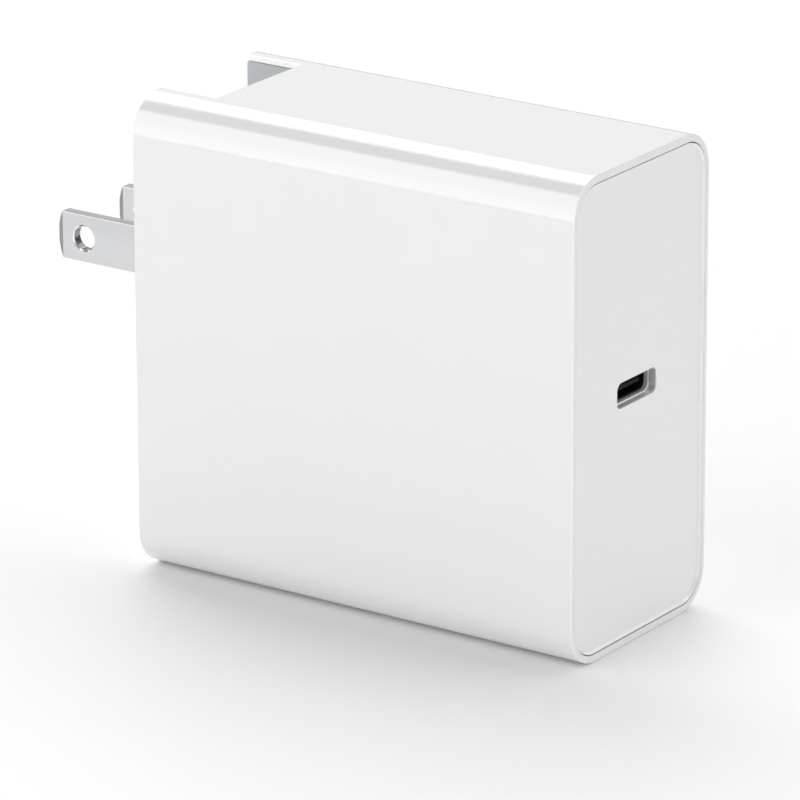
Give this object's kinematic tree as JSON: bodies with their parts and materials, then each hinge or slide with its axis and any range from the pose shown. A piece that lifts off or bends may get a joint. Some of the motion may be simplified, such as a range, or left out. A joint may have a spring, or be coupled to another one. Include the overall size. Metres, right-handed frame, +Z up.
{
  "type": "wall plug power adapter",
  "caption": "White rectangular wall charger for a laptop: glossy sleeve, matte end panels, USB-C socket and two flat blades that fold into a bay.",
  "frame": {"origin": "centre of the sleeve's flat bottom face, which is the long narrow side that the adapter stands on", "axes": "+X from the plug end to the socket end, +Y through the thickness to the back broad face, +Z up"},
  "size_m": [0.0832, 0.0302, 0.0618],
  "materials": {
    "shell_gloss": "gloss",
    "panel_matte": "fine-grained matte",
    "blade_plate": "nickel plated, polished edges",
    "pin_brass": "turned",
    "spring_bronze": "rolled strip",
    "spring_steel": "rolled strip",
    "socket_metal": "satin",
    "socket_plastic": "matte",
    "board_laminate": "solder mask",
    "wire_jacket": "satin",
    "case_dark": "moulded",
    "disc_green": "dipped coating",
    "disc_blue": "dipped coating",
    "case_yellow": "moulded",
    "case_red": "dipped coating",
    "ferrite": "ground ferrite",
    "copper_winding": "enamelled wire",
    "tape_yellow": "polyester tape",
    "sleeve_blue": "heat-shrunk sleeve",
    "can_aluminium": "drawn can",
    "sheet_film": "insulating film",
    "spreader_aluminium": "rolled sheet",
    "pad_silicone": "soft silicone"
  },
  "bodies": {
    "housing": {"outer_sleeve": "shell_gloss", "port_panel": "panel_matte", "plug_panel": "panel_matte", "contact_spring_line": "spring_bronze", "contact_spring_neutral": "spring_bronze", "detent_spring": "spring_steel", "usb_c_shell": "socket_metal", "usb_c_tongue": "socket_plastic", "main_board": "board_laminate", "port_board": "board_laminate", "lead_wire": "wire_jacket", "fuse": "case_dark", "bridge_rectifier": "case_dark", "gan_switch": "case_dark", "control_chip": "case_dark", "sync_rectifier": "case_dark", "optocoupler": "case_dark", "pd_controller": "case_dark", "transformer_bobbin": "case_dark", "thermistor": "disc_green", "y_capacitor": "disc_blue", "x_capacitor": "case_yellow", "snubber_capacitor": "case_red", "choke_core": "ferrite", "filter_core": "ferrite", "transformer_core_lower": "ferrite", "transformer_core_upper": "ferrite", "choke_winding_a": "copper_winding", "choke_winding_b": "copper_winding", "filter_winding": "copper_winding", "transformer_winding": "tape_yellow", "bulk_capacitor_1": "sleeve_blue", "bulk_capacitor_2": "sleeve_blue", "bulk_capacitor_3": "sleeve_blue", "auxiliary_capacitor": "sleeve_blue", "output_capacitor_1": "can_aluminium", "output_capacitor_2": "can_aluminium", "insulation_sheet": "sheet_film", "front_heat_spreader": "spreader_aluminium", "back_heat_spreader": "spreader_aluminium", "thermal_pad": "pad_silicone"},
    "blade_set": {"blade_carrier": "panel_matte", "blade_line": "blade_plate", "blade_neutral": "blade_plate", "pivot_pin_line": "pin_brass", "pivot_pin_neutral": "pin_brass"}
  },
  "joints": [
    {"name": "blade_fold", "type": "hinge", "parent": "housing", "child": "blade_set", "pos_m": [-0.0282, 0, 0.0392], "axis": [0, 1, 0], "range_deg": [0, 90]}
  ]
}
